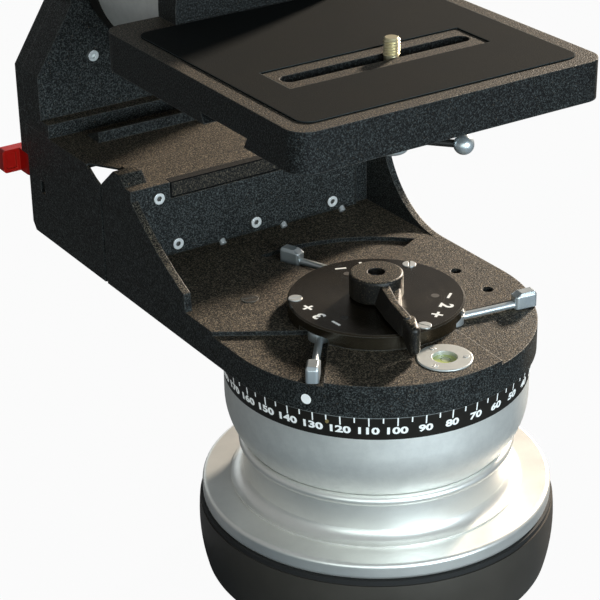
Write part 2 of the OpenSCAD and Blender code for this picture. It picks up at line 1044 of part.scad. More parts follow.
module bubble_ring() {
    color("silver")
        on_bubble()
            difference() {
                translate([0, 0, -bubble_sunk])
                    rotate_extrude()
                        disc_section(bubble_r, bubble_sunk + bubble_proud, 0.6, 0.2);
                translate([0, 0, -bubble_sunk - over])
                    cylinder(r = vial_r + fit, h = bubble_sunk + bubble_proud + 2 * over);
                at_bubble_screws()
                    screw_hole(1.6, 0.5, bubble_screw_r, 6);
            }
}

module bubble_vial() {
    color("greenyellow")
        on_bubble()
            translate([0, 0, -bubble_sunk - 4])
                cylinder(r = vial_r, h = bubble_sunk + 4 + bubble_proud - vial_sunk);
}

module bubble_screws() {
    color("silver")
        on_bubble()
            at_bubble_screws()
                slotted_bubble_screw();
}

module slotted_bubble_screw() {
    difference() {
        union() {
            translate([0, 0, -0.5])
                cylinder(r = 1.6, h = 0.7);
            translate([0, 0, -6])
                cylinder(r = bubble_screw_r, h = 6);
        }
        translate([-2, -0.2, -0.1])
            cube([4, 0.4, 1]);
    }
}

// Quick-change block: a hollow casting, open below and behind
module block_side() {
    polygon([
        [block_front, block_z], [block_front, notch_low], [block_front + notch_d, notch_high],
        [block_front + notch_d, block_top], [block_back, block_top], [block_back, block_z + 5],
        [block_back - 4, block_z]
    ]);
}

module qc_block() {
    half = plate_r;
    slot_y = block_back - 21.5;
    bay_top = jaw_z - 6;
    color("black")
        difference() {
            union() {
                for (x = [-half, half - cheek_t])
                    along_x(x, x + cheek_t)
                        block_side();
                translate([0, 0, block_top - block_top_t])
                    linear_extrude(block_top_t)
                        polygon([
                            [-half, block_front + corner_d], [-half + corner_w, block_front],
                            [half - corner_w, block_front], [half, block_front + corner_d],
                            [half, block_back], [-half, block_back]
                        ]);
                translate([-half + corner_w, block_front, block_z])
                    cube([2 * half - 2 * corner_w, block_front_t, block_top - block_z]);
                translate([-half, block_front, block_z])
                    cube([2 * half, block_front_t, notch_low - 8 - block_z]);
                translate([-half, block_back - block_wall, bay_top])
                    cube([2 * half, block_wall, block_top - bay_top]);
                translate([-rib_x, block_back - block_wall, crossbar_z])
                    cube([2 * rib_x, block_wall, block_top - crossbar_z]);
                for (x = [-rib_x, rib_x - block_wall])
                    along_x(x, x + block_wall)
                        polygon([
                            [block_front, block_z], [block_front, block_top], [block_back, block_top],
                            [block_back, crossbar_z], [block_back - block_wall, crossbar_z]
                        ]);
                along_x(-rail_half, rail_half)
                    polygon([
                        [rail_front, block_top - rail_back_h], [rail_front, block_top + rail_h],
                        [rail_front + rail_d, block_top + rail_back_h],
                        [rail_front + rail_d, block_top - rail_back_h]
                    ]);
            }
            translate([-half - over, slot_y, plate_top + 11])
                cube([cheek_t + 2 * over, 5.5, 9]);
            for (x = [-half - over, half - notch_w])
                along_x(x, x + notch_w + over)
                    polygon([
                        [block_front - over, notch_low], [block_front, notch_low],
                        [block_front + notch_d, notch_high], [block_front - over, notch_high]
                    ]);
            for (x = [-half + notch_skin, half - notch_w])
                along_x(x, x + notch_w - notch_skin)
                    polygon([
                        [block_front - over, notch_low - notch_hollow],
                        [block_front, notch_low - notch_hollow],
                        [block_front + notch_d + notch_hollow, notch_high],
                        [block_front - over, notch_high]
                    ]);
            for (x = [-half, half])
                translate([x, block_front, block_z - over])
                    rotate(45)
                        linear_extrude(notch_low - block_z)
                            square(joint_bevel * sqrt(2), center = true);
            at_wall_screws()
                translate([0, 0, wall_front - block_front - 7 - over])
                    cylinder(r = cap_shank_r + fit, h = 7 + 2 * over);
        }
}

module qc_lever_pin() {
    color("silver")
        translate([qc_x, qc_y, qc_z + 1])
            cylinder(r = qc_pin_r, h = jaw_z + qc_pin_deep - qc_z - 1);
}

// Red lever: a hub below the jaw and a dished paddle that stands out beside the block
module qc_lever() {
    dish = 1.5;
    rim = 2.5;
    left = qc_hub_r - qc_lever_l;
    color("red")
        translate([qc_x, qc_y, qc_z])
            difference() {
                union() {
                    cylinder(r = qc_hub_r, h = qc_lever_h);
                    translate([-qc_hub_r, 0, 0])
                        cube([2 * qc_hub_r, qc_paddle_y + rim, qc_lever_h]);
                    translate([0, qc_paddle_y + qc_lever_t, 0])
                        rotate([90, 0, 0])
                            linear_extrude(qc_lever_t)
                                rounded_rect(left, 0, qc_hub_r, qc_lever_h, 2.5);
                }
                translate([0, 0, -over])
                    cylinder(r = qc_pin_r + fit, h = qc_lever_h + 2 * over);
                translate([left + rim, qc_paddle_y - over, rim])
                    cube([qc_lever_l - 2 * qc_hub_r - 2 * rim, dish + over, qc_lever_h - 2 * rim]);
            }
}

// Slab of the tilt upright: broad shoulders and a round head on the tilt axis
module upright_slab(from, t) {
    half = head_r - neck_inset;
    half_z = shoulder_z + (plate_r - half) * shoulder_slope;
    union() {
        translate([0, from + t, 0])
            rotate([90, 0, 0])
                linear_extrude(t)
                    polygon([
                        [-plate_r, upright_z], [-plate_r, shoulder_z], [-half, half_z], [-half, tilt_z],
                        [half, tilt_z], [half, half_z], [plate_r, shoulder_z], [plate_r, upright_z]
                    ]);
        on_tilt_axis()
            translate([0, 0, from])
                cylinder(r = head_r, h = t);
    }
}

module at_cover_screws(face) {
    for (x = [-cover_screw_x, cover_screw_x])
        translate([x, face, cover_screw_z])
            rotate([90, 0, 0])
                children();
}

cover_screw_bite = 8;
cover_screw_l = upright_t + cover_screw_bite;
module tilt_upright() {
    color("black")
        difference() {
            union() {
                upright_slab(upright_front, upright_t);
                translate([-plate_r, foot_front, block_top])
                    cube([2 * plate_r, cover_front - foot_front, upright_z - block_top]);
                translate([-plate_r, block_back + slide_fit, jaw_z])
                    cube([2 * plate_r, tilt_face - block_back - slide_fit, upright_z - jaw_z]);
                translate([-plate_r, cover_front - over, block_top])
                    cube([2 * plate_r, block_back + slide_fit - cover_front + 2 * over, upright_z - block_top]);
            }
            on_tilt_axis()
                translate([0, 0, upright_front - over])
                    cylinder(r = spindle_r + fit, h = upright_t + 2 * over);
            translate([qc_x, qc_y, jaw_z - over])
                cylinder(r = qc_pin_r + fit, h = qc_pin_deep + over);
            at_cover_screws(upright_front)
                screw_hole(cap_head_r, wall_screw_sunk, cap_shank_r, upright_t);
            on_tilt_face()
                translate([0, 0, -relief_d])
                    linear_extrude(relief_d + over)
                        lever_relief();
        }
}

module tilt_cover() {
    color("black")
        difference() {
            upright_slab(cover_front, cover_t);
            on_tilt_face()
                translate([0, 0, -relief_d])
                    linear_extrude(relief_d + over)
                        lever_relief();
            on_tilt_axis()
                translate([0, 0, cover_front - over])
                    cylinder(r = spindle_r + fit, h = cover_t + 2 * over);
            on_tilt_face()
                lever_places()
                    translate([0, 0, -cover_t - over])
                        cylinder(r = lever_pin_r + fit, h = cover_t + 2 * over);
            on_tilt_face()
                translate([0, 0, -dial_h])
                    dial_screw_places()
                        translate([0, 0, -6 - over])
                            cylinder(r = screw_shank_r + fit, h = 6 + 2 * over);
            at_cover_screws(cover_front)
                translate([0, 0, -7])
                    cylinder(r = cap_shank_r + fit, h = 7 + over);
        }
}

module cover_screws() {
    color("silver")
        at_cover_screws(upright_front)
            translate([0, 0, cap_head_h - wall_screw_sunk])
                cap_screw(cover_screw_l);
}

module tilt_spindle() {
    color("silver")
        on_tilt_axis()
            difference() {
                translate([0, 0, tilt_spindle_end])
                    cylinder(r = spindle_r, h = tilt_face - tilt_spindle_end);
                translate([0, 0, tilt_face - stud_deep])
                    cylinder(r = stud_r + fit, h = stud_deep + over);
            }
}

module tilt_drag_rotor() {
    color("silver")
        on_tilt_axis()
            drag_rotor(tilt_chamber_front + 4, tilt_chamber_r - 3);
}

module tilt_dial() {
    color("black")
        on_tilt_face()
            drag_dial();
}

module tilt_dial_screws() {
    color("silver")
        on_tilt_face()
            dial_screws();
}

module tilt_lever_pins() {
    color("silver")
        on_tilt_face()
            lever_pins();
}

module tilt_lever(index) {
    color("gainsboro")
        on_tilt_face()
            drag_lever(index);
}

module tilt_lock_stud() {
    color("silver")
        on_tilt_face()
            lock_stud();
}

module tilt_lock_lever() {
    color("black")
        on_tilt_face()
            lock_lever();
}

// Tilt drum with its bearings and plates
module at_drum_bolts() {
    for (a = [45 : 90 : 315])
        rotate(a)
            translate([drum_bolt_r, 0, 0])
                children();
}

drum_bolt_l = 30;
module tilt_drum() {
    front_wall = tilt_chamber_front - drum_front;
    color("silver")
        on_tilt_axis()
            difference() {
                translate([0, 0, drum_front])
                    rotate_extrude()
                        disc_section(drum_r, drum_back - drum_front, 1, 2);
                translate([0, 0, drum_back - tilt_scale_h - 2])
                    ring(drum_r + over, drum_r - 4, tilt_scale_h);
                translate([0, 0, tilt_chamber_front])
                    cylinder(r = tilt_chamber_r, h = tilt_chamber_back - tilt_chamber_front);
                translate([0, 0, drum_front + 2])
                    cylinder(r = spindle_r + slide_fit, h = drum_back);
                translate([0, 0, drum_front + front_wall - tilt_bearing_h])
                    cylinder(r = tilt_bearing_r + fit, h = tilt_bearing_h + over);
                translate([0, 0, tilt_chamber_back - over])
                    cylinder(r = tilt_bearing_r + fit, h = tilt_bearing_h + over);
                translate([0, 0, drum_front])
                    at_drum_bolts()
                        translate([0, 0, -over])
                            cylinder(r = cap_shank_r + fit, h = drum_bolt_l - arm_t + 6 + over);
            }
}

module tilt_scale_ring() {
    color("black")
        on_tilt_axis()
            translate([0, 0, drum_back - tilt_scale_h - 2])
                ring(drum_r + 0.6, drum_r - 4 + fit, tilt_scale_h - fit);
}

module tilt_bearing_front() {
    color("silver")
        on_tilt_axis()
            translate([0, 0, tilt_chamber_front - tilt_bearing_h])
                ring(tilt_bearing_r, spindle_r + fit, tilt_bearing_h);
}

module tilt_bearing_rear() {
    color("silver")
        on_tilt_axis()
            translate([0, 0, tilt_chamber_back])
                ring(tilt_bearing_r, spindle_r + fit, tilt_bearing_h);
}

module tilt_drag_plates() {
    color("dimgray")
        on_tilt_axis()
            fixed_plates(tilt_chamber_front + 4, tilt_chamber_r - fit);
}

// Camera platform: a thick plate with a round arm flange that carries it on the drum
module groove_section(gap) {
    polygon([
        [gap - groove_mouth, -over], [gap - groove_mouth, gap], [gap - groove_root, groove_h - gap],
        [groove_root - gap, groove_h - gap], [groove_mouth - gap, gap], [groove_mouth - gap, -over]
    ]);
}

module slot_outline(length, width) {
    hull_l = length - width;
    translate([-hull_l / 2, -width / 2])
        square([hull_l, width]);
    for (x = [-hull_l / 2, hull_l / 2])
        translate([x, 0])
            circle(d = width);
}

module mat_outline() {
    difference() {
        rounded_rect(
            mat_border - platform_left, mat_border - platform_free,
            platform_right - mat_border, mat_back, mat_round
        );
        translate([-slot_l / 2 - 4, -window_half])
            square([slot_l + 8, 2 * window_half]);
    }
}

module platform() {
    pocket_side = 12;
    color("black")
        difference() {
            union() {
                translate([0, 0, platform_z])
                    linear_extrude(platform_t)
                        rounded_rect(
                            -platform_left, -platform_free, platform_right, platform_back, platform_round
                        );
                on_tilt_axis()
                    translate([0, 0, platform_back - arm_t])
                        cylinder(r = arm_r, h = arm_t);
            }
            translate([0, 0, platform_top - mat_seat])
                linear_extrude(mat_seat + over)
                    mat_outline();
            translate([0, 0, platform_z - over])
                linear_extrude(platform_t + 2 * over)
                    slot_outline(slot_l, slot_w);
            translate([0, 0, platform_z])
                along_x(-platform_left - over, platform_right + over)
                    groove_section(0);
            translate([0, 0, platform_z - over])
                linear_extrude(platform_t - pocket_roof + over)
                    union() {
                        rounded_rect(
                            pocket_side - platform_left, pocket_side - platform_free,
                            platform_right - pocket_side, -groove_root - 8, 6
                        );
                        rounded_rect(
                            pocket_side - platform_left, groove_root + 8,
                            platform_right - pocket_side, platform_back - arm_t - 10, 6
                        );
                    }
            on_tilt_axis()
                translate([0, 0, platform_back - arm_t])
                    at_drum_bolts()
                        rotate([180, 0, 0])
                            screw_hole(cap_head_r, cap_head_h, cap_shank_r, arm_t + over);
        }
}

module platform_mat() {
    color("dimgray")
        translate([0, 0, platform_top - mat_seat])
            linear_extrude(mat_t)
                mat_outline();
}

module platform_screws() {
    color("silver")
        on_tilt_axis()
            translate([0, 0, platform_back - arm_t])
                at_drum_bolts()
                    rotate([180, 0, 0])
                        cap_screw(drum_bolt_l);
}

// Camera screw in its carriage
module on_screw() {
    translate([camera_screw_x, 0, 0])
        children();
}

module screw_carriage() {
    color("silver")
        on_screw()
            difference() {
                translate([0, 0, platform_z])
                    along_x(-carriage_l / 2, carriage_l / 2)
                        intersection() {
                            groove_section(slide_fit);
                            translate([-groove_root, 0.2])
                                square([2 * groove_root, groove_h]);
                        }
                translate([0, 0, platform_z - over])
                    cylinder(r = camera_shank_r + fit, h = groove_h + 2 * over);
            }
}

// The thread's relieved shank passes the slot, the carriage and the handle's hub
module camera_screw() {
    color("silver")
        on_screw()
            union() {
                translate([0, 0, handle_low + 8])
                    cylinder(r = camera_shank_r, h = thread_z - handle_low - 8);
                translate([0, 0, thread_z])
                    cylinder(r = camera_screw_r, h = mat_top + camera_screw_h - thread_z);
            }
}

module handle_hub() {
    top = platform_z - slide_fit;
    color("gainsboro")
        on_screw()
            difference() {
                translate([0, 0, handle_low])
                    rotate_extrude()
                        disc_section(handle_hub_r, top - handle_low, 1, 3);
                translate([0, 0, handle_low + 8])
                    cylinder(r = camera_shank_r + fit, h = top);
                on_handle()
                    cylinder(d = rod_d + 2 * fit, h = handle_hub_r + over);
            }
}

module on_handle() {
    translate([0, 0, handle_z])
        rotate([0, 90, handle_angle])
            children();
}

module handle_rod() {
    color("black")
        on_screw()
            on_handle()
                translate([0, 0, camera_screw_r + 1.5])
                    cylinder(d = rod_d, h = handle_l - ball_r + 3 - camera_screw_r - 1.5);
}

module handle_ball() {
    color("gainsboro")
        on_screw()
            on_handle()
                difference() {
                    translate([0, 0, handle_l])
                        sphere(r = ball_r);
                    translate([0, 0, handle_l - ball_r - over])
                        cylinder(d = rod_d + 2 * fit, h = 4 + over);
                }
}

base_foot();
base_gasket();
base_flange();
neck_ring();
pan_bowl();
scale_ring();
scale_pin();
pan_cover();
pan_bearing_lower();
pan_bearing_upper();
pan_drag_plates();
pan_bracket();
pan_spindle();
pan_drag_rotor();
plate_plug();
wall_screws();
wall_pins();
wall_gib();
pan_dial();
pan_dial_screws();
pan_lever_pins();
pan_lock_stud();
bubble_ring();
bubble_vial();
bubble_screws();
qc_block();
qc_lever_pin();
tilt_upright();
tilt_cover();
cover_screws();
tilt_spindle();
tilt_drag_rotor();
tilt_dial();
tilt_dial_screws();
tilt_lever_pins();
tilt_lock_stud();
pan_lever(0);  // pan_lever_1
pan_lever(2);  // pan_lever_2
pan_lever(1);  // pan_lever_3
pan_lock_lever();
tilt_lever(0);  // tilt_lever_1
tilt_lever(2);  // tilt_lever_2
tilt_lever(1);  // tilt_lever_3
tilt_lock_lever();
qc_lever();
tilt_drum();
tilt_scale_ring();
tilt_bearing_front();
tilt_bearing_rear();
tilt_drag_plates();
platform();
platform_mat();
platform_screws();
screw_carriage();
camera_screw();
handle_hub();
handle_rod();
handle_ball();
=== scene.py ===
"""Looks of the fluid video head: camera, studio, finishes, and the printed and threaded pieces."""

import math

import bmesh
import bpy
from mathutils import Matrix, Vector


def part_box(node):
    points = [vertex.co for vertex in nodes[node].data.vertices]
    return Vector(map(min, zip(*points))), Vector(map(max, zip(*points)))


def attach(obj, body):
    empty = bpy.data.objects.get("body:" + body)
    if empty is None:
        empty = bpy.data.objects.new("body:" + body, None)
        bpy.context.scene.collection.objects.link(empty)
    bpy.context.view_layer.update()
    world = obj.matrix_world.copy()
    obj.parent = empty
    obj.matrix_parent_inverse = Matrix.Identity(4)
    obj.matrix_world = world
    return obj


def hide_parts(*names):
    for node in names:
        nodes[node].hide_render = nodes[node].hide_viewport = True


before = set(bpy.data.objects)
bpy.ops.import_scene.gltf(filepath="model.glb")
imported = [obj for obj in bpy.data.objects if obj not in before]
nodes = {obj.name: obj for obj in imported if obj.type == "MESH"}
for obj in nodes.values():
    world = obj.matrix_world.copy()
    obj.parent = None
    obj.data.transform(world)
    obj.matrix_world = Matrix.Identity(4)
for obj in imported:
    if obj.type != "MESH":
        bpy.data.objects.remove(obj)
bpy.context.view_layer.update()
MM = 0.001


# Camera at the photograph's viewing angle
CAMERA_AZIMUTH = math.radians(-32.698)
CAMERA_ELEVATION = math.radians(26.172)
CAMERA_ROLL = math.radians(-0.932)
CAMERA_DISTANCE = 1.11875
CAMERA_TARGET = Vector((0, 0, 0.140))
CAMERA_RIGHT = -0.04379
CAMERA_UP = 0.02344
SENSOR_WIDTH = 36.0
FOCAL_LENGTH = 116.711
CLIP_START = 0.01


def add_camera():
    """Looks at the part from the photograph's side, shifted so that the picture is framed the same."""
    az, el, roll = CAMERA_AZIMUTH, CAMERA_ELEVATION, CAMERA_ROLL
    back = Vector((math.sin(az) * math.cos(el), -math.cos(az) * math.cos(el), math.sin(el)))
    level = Vector((math.cos(az), math.sin(az), 0))
    top = back.cross(level)
    right = level * math.cos(roll) + top * math.sin(roll)
    up = top * math.cos(roll) - level * math.sin(roll)
    eye = CAMERA_TARGET + back * CAMERA_DISTANCE + right * CAMERA_RIGHT + up * CAMERA_UP
    camera = bpy.data.objects.new("camera", bpy.data.cameras.new("camera"))
    camera.data.sensor_width = SENSOR_WIDTH
    camera.data.lens = FOCAL_LENGTH
    camera.data.clip_start = CLIP_START
    camera.matrix_world = Matrix.Translation(eye) @ Matrix((right, up, back)).transposed().to_4x4()
    bpy.context.scene.collection.objects.link(camera)
    bpy.context.scene.camera = camera


# Materials as expressions
class Value:
    """A socket of a finish. Operators on it add Math nodes to that finish."""

    def __init__(self, finish, socket):
        self.finish = finish
        self.socket = socket

    def math(self, operation, *values):
        return self.finish.node("ShaderNodeMath", {"operation": operation}, dict(enumerate(values)))

    def __add__(self, other):
        return self.math("ADD", self, other)

    def __sub__(self, other):
        return self.math("SUBTRACT", self, other)

    def __rsub__(self, other):
        return self.math("SUBTRACT", other, self)

    def __mul__(self, other):
        return self.math("MULTIPLY", self, other)

    __radd__ = __add__
    __rmul__ = __mul__

    def step(self, low, high):
        """0 below low, 1 above high, and smooth between them; high may be the smaller."""
        settings = {"interpolation_type": "SMOOTHSTEP"}
        return self.finish.node("ShaderNodeMapRange", settings, {0: self, 1: low, 2: high})


class Finish:
    """A material in the making. node() adds any node, and the other methods are its common uses."""

    def __init__(self, name):
        self.material = bpy.data.materials.new(name)
        self.material.use_nodes = True
        self.tree = self.material.node_tree
        self.tree.nodes.clear()

    def node(self, kind, settings=None, sockets=None, output=0):
        made = self.tree.nodes.new(kind)
        for name, value in (settings or {}).items():
            setattr(made, name, value)
        for name, value in (sockets or {}).items():
            if isinstance(value, Value):
                self.tree.links.new(value.socket, made.inputs[name])
            else:
                made.inputs[name].default_value = value
        return Value(self, made.outputs[output])

    def place(self):
        return self.node("ShaderNodeTexCoord", output="Object")

    def vector(self, operation, *values, output=0):
        return self.node("ShaderNodeVectorMath", {"operation": operation}, dict(enumerate(values)), output)

    def noise(self, size, detail=2.0, stretch=None, rough=0.5):
        """Noise with blobs of about that size in metres."""
        where = self.place()
        if stretch:
            where = self.vector("MULTIPLY", where, stretch)
        sockets = {"Vector": where, "Scale": 1 / size, "Detail": detail, "Roughness": rough}
        return self.node("ShaderNodeTexNoise", {"noise_dimensions": "3D"}, sockets)

    def mix(self, share, low, high):
        """Colour from low to high."""
        sockets = {0: share, 6: low, 7: high}
        return self.node("ShaderNodeMix", {"data_type": "RGBA"}, sockets, output=2)

    def rounded(self, radius):
        """Normal of the surface with its edges rounded off."""
        return self.node("ShaderNodeBevel", {"samples": 6}, {"Radius": radius})

    def edge(self, rounded):
        """1 along the edges that rounded softens, 0 on the flats."""
        flat = self.node("ShaderNodeNewGeometry", output="True Normal")
        return self.vector("DOT_PRODUCT", rounded, flat, output="Value").step(0.995, 0.80)

    def facing_up(self):
        """1 on faces that look up, 0 on upright ones; the paints use it to paint light on top faces."""
        normal = self.node("ShaderNodeTexCoord", output="Normal")
        return self.node("ShaderNodeSeparateXYZ", {}, {0: normal}, output="Z").step(0.60, 0.95)

    def bump(self, height, depth, strength=1.0, normal=None):
        sockets = {"Height": height, "Distance": depth, "Strength": strength}
        if normal:
            sockets["Normal"] = normal
        return self.node("ShaderNodeBump", {}, sockets)

    def shader(self, **sockets):
        """Closes the finish with one Principled shader; names are written with _ for spaces."""
        named = {name.replace("_", " "): value for name, value in sockets.items()}
        surface = self.node("ShaderNodeBsdfPrincipled", {}, named)
        return self.close(surface)

    def close(self, surface):
        output = self.tree.nodes.new("ShaderNodeOutputMaterial")
        self.tree.links.new(surface.socket, output.inputs["Surface"])
        return self.material


def turned_normal(finish, centre, axis, depth, pitch):
    """Normal of a lathe-turned surface: fine grooves round the axis tilt it along the profile."""
    around = finish.vector("SUBTRACT", finish.place(), centre)
    level = finish.vector("DOT_PRODUCT", around, axis, output="Value")
    spoke = finish.vector("CROSS_PRODUCT", axis, around)
    radius = finish.vector("LENGTH", spoke, output="Value")
    tangent = finish.vector("NORMALIZE", spoke)
    normal = finish.node("ShaderNodeTexCoord", output="Normal")
    profile = finish.vector("CROSS_PRODUCT", normal, tangent)
    along = (radius + level) * (1 / pitch)
    groove = finish.node(
        "ShaderNodeTexNoise", {"noise_dimensions": "1D"}, {"W": along, "Scale": 1.0, "Detail": 3.0}
    )
    sockets = {0: profile, "Scale": (groove - 0.5) * depth}
    lean = finish.node("ShaderNodeVectorMath", {"operation": "SCALE"}, sockets)
    tilted = finish.vector("NORMALIZE", finish.vector("ADD", normal, lean))
    turn = {"vector_type": "NORMAL", "convert_from": "OBJECT", "convert_to": "WORLD"}
    return finish.node("ShaderNodeVectorTransform", turn, {0: tilted}), groove


TILT_HEIGHT = (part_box("tilt_dial")[0].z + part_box("tilt_dial")[1].z) / 2
PAN_AXIS = ((0, 0, 0), (0, 0, 1))
TILT_AXIS = ((0, 0, TILT_HEIGHT), (0, 1, 0))
SCALE_LOW, SCALE_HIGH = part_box("scale_ring")

WRINKLE_SIZE = 0.72 * MM
WRINKLE_DEPTH = 0.42 * MM
CREST_SIZE = 0.95 * MM
CREST_RANGE = (0.45, 0.72)
PAINTED_GLINT_SIZE = 0.85 * MM
GIB_LINE = 0.8 * MM
PAINT_EDGE = 0.9 * MM
PAINT_BLACK = (0.003, 0.003, 0.003, 1)
WARM_SHEEN = (1.0, 0.86, 0.66, 1)
PAINT_SHEEN = {"Sheen_Weight": 0.03, "Sheen_Roughness": 0.45, "Sheen_Tint": WARM_SHEEN}


def tinted(grey, red, green, blue):
    """A grey taken that many times in each channel."""
    return (red * grey, green * grey, blue * grey, 1)


def crinkle_paint(name, crest_grey):
    """Black wrinkle enamel on castings: fine crests, painted light on top faces, painted glints, and
    smoother edges made paler by a painted highlight.
    """
    f = Finish(name)
    rounded = f.rounded(PAINT_EDGE)
    edge = f.edge(rounded)
    wrinkle = f.noise(WRINKLE_SIZE, 2.0, rough=0.55)
    crest = f.noise(CREST_SIZE, 3.0, rough=0.8).step(*CREST_RANGE)
    painted_glint = f.noise(PAINTED_GLINT_SIZE, 2.0).step(0.66, 0.76)
    cloud = f.noise(38 * MM, 3.0)
    # Painted light: crests on top faces are painted light brown, as if lit, and on upright faces cooler, as
    # if in shade.
    lit_top = f.facing_up()
    upright_colour = tinted(crest_grey, 0.72, 0.80, 0.78)
    lit_top_colour = tinted(crest_grey, 2.50, 2.00, 1.40)
    base = f.mix(crest, PAINT_BLACK, f.mix(lit_top, upright_colour, lit_top_colour))
    # Painted glints: rare bright specks, most of them on top faces.
    base = f.mix(painted_glint * (0.15 + lit_top * 0.65), base, tinted(crest_grey, 4.6, 3.3, 2.0))
    # Painted highlight: the edges are painted paler.
    base = f.mix(edge * 0.6, base, (0.13, 0.125, 0.115, 1))
    rough = 0.52 - crest * 0.16 - painted_glint * 0.10 + cloud * 0.08 - edge * 0.10
    normal = f.bump(wrinkle, WRINKLE_DEPTH, 1.0, rounded)
    return f.shader(
        Base_Color=base, Roughness=rough, Normal=normal, Specular_IOR_Level=0.16, **PAINT_SHEEN
    )


def gib_paint():
    """The paint of the inlaid gib, with a painted shade line round its face where the gap to the wall is
    dark.
    """
    f = Finish("gib_crinkle")
    low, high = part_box("wall_gib")
    middle, half = (low + high) / 2, (high - low) / 2
    apart = f.vector("ABSOLUTE", f.vector("SUBTRACT", f.place(), middle))
    inset = f.vector("SUBTRACT", half, apart)
    across = f.node("ShaderNodeSeparateXYZ", {}, {0: inset}, output="X")
    down = f.node("ShaderNodeSeparateXYZ", {}, {0: inset}, output="Z")
    painted_gap_shade = across.math("MINIMUM", across, down).step(GIB_LINE * 1.2, GIB_LINE)
    crest = f.noise(CREST_SIZE, 3.0, rough=0.8).step(*CREST_RANGE)
    base = f.mix(crest, PAINT_BLACK, (0.13, 0.105, 0.075, 1))
    # Painted shade: a black line round the gib's face stands for the shade in its gap.
    base = f.mix(painted_gap_shade, base, (0.001, 0.001, 0.001, 1))
    rough = 0.52 - crest * 0.18 + painted_gap_shade * 0.4
    normal = f.bump(f.noise(WRINKLE_SIZE, 2.0), WRINKLE_DEPTH)
    return f.shader(Base_Color=base, Roughness=rough, Normal=normal, Specular_IOR_Level=0.2)


def lever_paint():
    """Smoother black paint of the lock levers, with painted light on top faces and a painted highlight along
    the edges.
    """
    f = Finish("lever_paint")
    rounded = f.rounded(PAINT_EDGE)
    grain = f.noise(0.8 * MM, 3.0, rough=0.7)
    crest = grain.step(0.50, 0.75)
    # Painted light: the crests are painted brown mostly on top faces, as if lit there.
    lit_top = 0.12 + f.facing_up() * 0.88
    base = f.mix(crest * lit_top, (0.002, 0.002, 0.002, 1), (0.80, 0.64, 0.44, 1))
    # Painted highlight: the edges are painted paler.
    base = f.mix(f.edge(rounded) * 0.4, base, (0.12, 0.11, 0.10, 1))
    normal = f.bump(grain, 0.20 * MM, 0.8, rounded)
    return f.shader(
        Base_Color=base, Roughness=0.36 + crest * 0.14, Normal=normal, Specular_IOR_Level=0.35, **PAINT_SHEEN
    )


TURNED_DEPTH = 0.14
TURNED_PITCH = 0.35 * MM
DIAL_GROOVE_DEPTH = 1.15
DIAL_GROOVE_PITCH = 0.09 * MM


def satin_aluminium(name, centre, axis, metal, dull, mottled):
    """Turned and blasted aluminium; a smaller dull is nearer to bare turning."""
    f = Finish(name)
    normal, groove = turned_normal(f, centre, axis, TURNED_DEPTH, TURNED_PITCH)
    cloud = f.noise(26 * MM, 4.0)
    mottle = f.noise(7 * MM, 5.0, rough=0.7).step(0.30, 0.70)
    grain = f.noise(0.5 * MM, 2.0)
    patch = cloud * (1 - mottled) + mottle * mottled
    base = f.mix(patch, (0.80, 0.79, 0.75, 1), (0.94, 0.93, 0.88, 1))
    rough = dull + cloud * 0.08 + groove * 0.05 + grain * 0.05
    return f.shader(Base_Color=base, Metallic=metal, Roughness=rough, Normal=normal)


def ring_aluminium():
    """Bright aluminium of the level's ring."""
    f = Finish("ring_aluminium")
    cloud = f.noise(6 * MM, 3.0)
    grain = f.noise(0.4 * MM, 2.0)
    base = f.mix(cloud, (0.60, 0.62, 0.60, 1), (0.76, 0.77, 0.74, 1))
    normal = f.bump(grain, 0.02 * MM, 0.4, f.rounded(0.4 * MM))
    return f.shader(Base_Color=base, Metallic=0.5, Roughness=0.34 + grain * 0.12, Normal=normal)


def foot_grey():
    """Dark warm grey anodising of the foot, turned."""
    f = Finish("foot_grey")
    normal, groove = turned_normal(f, *PAN_AXIS, TURNED_DEPTH, TURNED_PITCH)
    cloud = f.noise(22 * MM, 4.0)
    base = f.mix(cloud, (0.054, 0.047, 0.039, 1), (0.082, 0.071, 0.058, 1))
    rough = 0.36 + cloud * 0.10 + groove * 0.06
    return f.shader(Base_Color=base, Metallic=0.35, Roughness=rough, Normal=normal)


def turned_black(name, centre, axis):
    """Black anodised dial, turned, with a brown sheen across its grooves and a painted highlight along its
    edges.
    """
    f = Finish(name)
    normal, groove = turned_normal(f, centre, axis, DIAL_GROOVE_DEPTH, DIAL_GROOVE_PITCH)
    cloud = f.noise(14 * MM, 3.0)
    base = f.mix(cloud, (0.004, 0.003, 0.002, 1), (0.014, 0.010, 0.005, 1))
    edge = f.edge(f.rounded(0.7 * MM))
    # Painted highlight: the dial's edges are painted pale.
    base = f.mix(edge * 0.7, base, (0.20, 0.20, 0.19, 1))
    rough = 0.20 + cloud * 0.06 + groove * 0.04
    return f.shader(
        Base_Color=base, Roughness=rough, Normal=normal,
        Specular_IOR_Level=0.66, Specular_Tint=WARM_SHEEN,
    )


def plug_black():
    """Blackened slotted plug, with a painted highlight along its edges."""
    f = Finish("plug_black")
    cloud = f.noise(2 * MM, 3.0)
    rounded = f.rounded(0.5 * MM)
    base = f.mix(cloud, (0.020, 0.017, 0.012, 1), (0.060, 0.048, 0.034, 1))
    # Painted highlight: the edges are painted pale.
    base = f.mix(f.edge(rounded), base, (0.60, 0.56, 0.50, 1))
    return f.shader(Base_Color=base, Roughness=0.45 + cloud * 0.15, Normal=rounded)


def plain_black():
    """Black satin rod of the handle."""
    f = Finish("rod_black")
    cloud = f.noise(6 * MM, 3.0)
    base = f.mix(cloud, (0.006, 0.006, 0.006, 1), (0.018, 0.017, 0.015, 1))
    return f.shader(Base_Color=base, Roughness=0.35 + cloud * 0.15, Normal=f.rounded(0.3 * MM))


